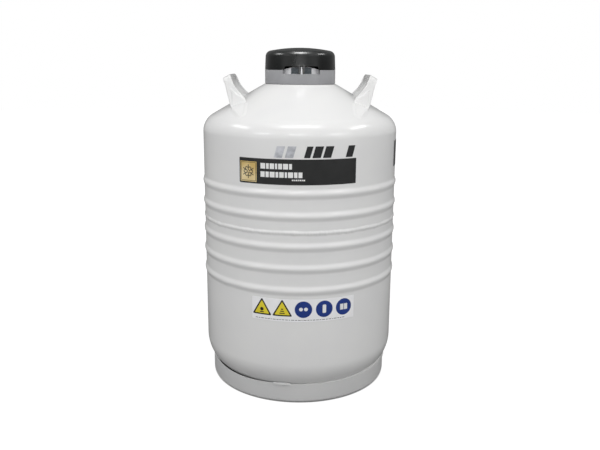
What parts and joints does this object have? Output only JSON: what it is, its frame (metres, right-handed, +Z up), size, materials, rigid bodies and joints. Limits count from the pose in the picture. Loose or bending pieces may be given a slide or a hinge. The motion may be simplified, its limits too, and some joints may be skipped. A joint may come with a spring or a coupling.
{
  "type": "liquid nitrogen dewar",
  "caption": "Narrow-neck aluminium storage dewar with a domed locking lid, foam neck plug, two lifting handles, ribbed barrel, foot ring and hanging sample canisters.",
  "frame": {"origin": "centre of the foot ring, on the floor", "axes": "+Z up along the vessel's axis, -Y towards the padlock side and the front label, +X towards the right-hand handle"},
  "size_m": [0.394, 0.394, 0.672],
  "materials": {
    "white_powder_coat": "gloss",
    "glass_fibre": "satin",
    "bare_aluminium": "satin",
    "grey_plastic": "satin",
    "black_plastic": "gloss",
    "foam": "matte",
    "foil_wrap": "satin",
    "stainless_steel": "satin",
    "black_label": "satin",
    "white_label": "satin"
  },
  "bodies": {
    "vessel": {"upper_outer_shell": "white_powder_coat", "lower_outer_shell": "white_powder_coat", "girth_weld": "white_powder_coat", "foot_ring": "white_powder_coat", "foot_ring_weld_1": "white_powder_coat", "foot_ring_weld_2": "white_powder_coat", "foot_ring_weld_3": "white_powder_coat", "foot_ring_weld_4": "white_powder_coat", "left_handle": "white_powder_coat", "right_handle": "white_powder_coat", "neck_plate": "white_powder_coat", "neck_tube": "glass_fibre", "index_ring": "bare_aluminium", "neck_collar": "grey_plastic", "collar_screw_1": "stainless_steel", "collar_screw_2": "stainless_steel", "collar_screw_3": "stainless_steel", "collar_screw_4": "stainless_steel", "inner_vessel_lower": "bare_aluminium", "inner_vessel_upper": "bare_aluminium", "insulation_blanket": "foil_wrap", "molecular_sieve_pack": "foil_wrap", "support_post": "glass_fibre", "support_cup": "glass_fibre", "evacuation_port": "bare_aluminium", "evacuation_plug": "stainless_steel", "evacuation_port_cap": "black_plastic", "canister_spider": "bare_aluminium", "front_label": "black_label", "safety_label": "white_label", "side_label": "black_label"},
    "lid": {"lid_cap": "black_plastic", "lid_insulation_pad": "foam", "plug_flange": "grey_plastic", "neck_plug": "foam", "plug_stud": "stainless_steel"},
    "canister_1": {"canister_1": "bare_aluminium", "canister_1_rod": "stainless_steel"},
    "canister_2": {"canister_2": "bare_aluminium", "canister_2_rod": "stainless_steel"},
    "canister_3": {"canister_3": "bare_aluminium", "canister_3_rod": "stainless_steel"},
    "canister_4": {"canister_4": "bare_aluminium", "canister_4_rod": "stainless_steel"},
    "canister_5": {"canister_5": "bare_aluminium", "canister_5_rod": "stainless_steel"},
    "canister_6": {"canister_6": "bare_aluminium", "canister_6_rod": "stainless_steel"}
  },
  "joints": [
    {"name": "lid_lift", "type": "slide", "parent": "vessel", "child": "lid", "axis": [0, 0, 1], "range_m": [0, 0.24]},
    {"name": "canister_1_unhook", "type": "slide", "parent": "vessel", "child": "canister_1", "axis": [0, 0, 1], "range_m": [0, 0.01]},
    {"name": "canister_2_unhook", "type": "slide", "parent": "vessel", "child": "canister_2", "axis": [0, 0, 1], "range_m": [0, 0.01]},
    {"name": "canister_3_unhook", "type": "slide", "parent": "vessel", "child": "canister_3", "axis": [0, 0, 1], "range_m": [0, 0.01]},
    {"name": "canister_4_unhook", "type": "slide", "parent": "vessel", "child": "canister_4", "axis": [0, 0, 1], "range_m": [0, 0.01]},
    {"name": "canister_5_unhook", "type": "slide", "parent": "vessel", "child": "canister_5", "axis": [0, 0, 1], "range_m": [0, 0.01]},
    {"name": "canister_6_unhook", "type": "slide", "parent": "vessel", "child": "canister_6", "axis": [0, 0, 1], "range_m": [0, 0.01]}
  ]
}
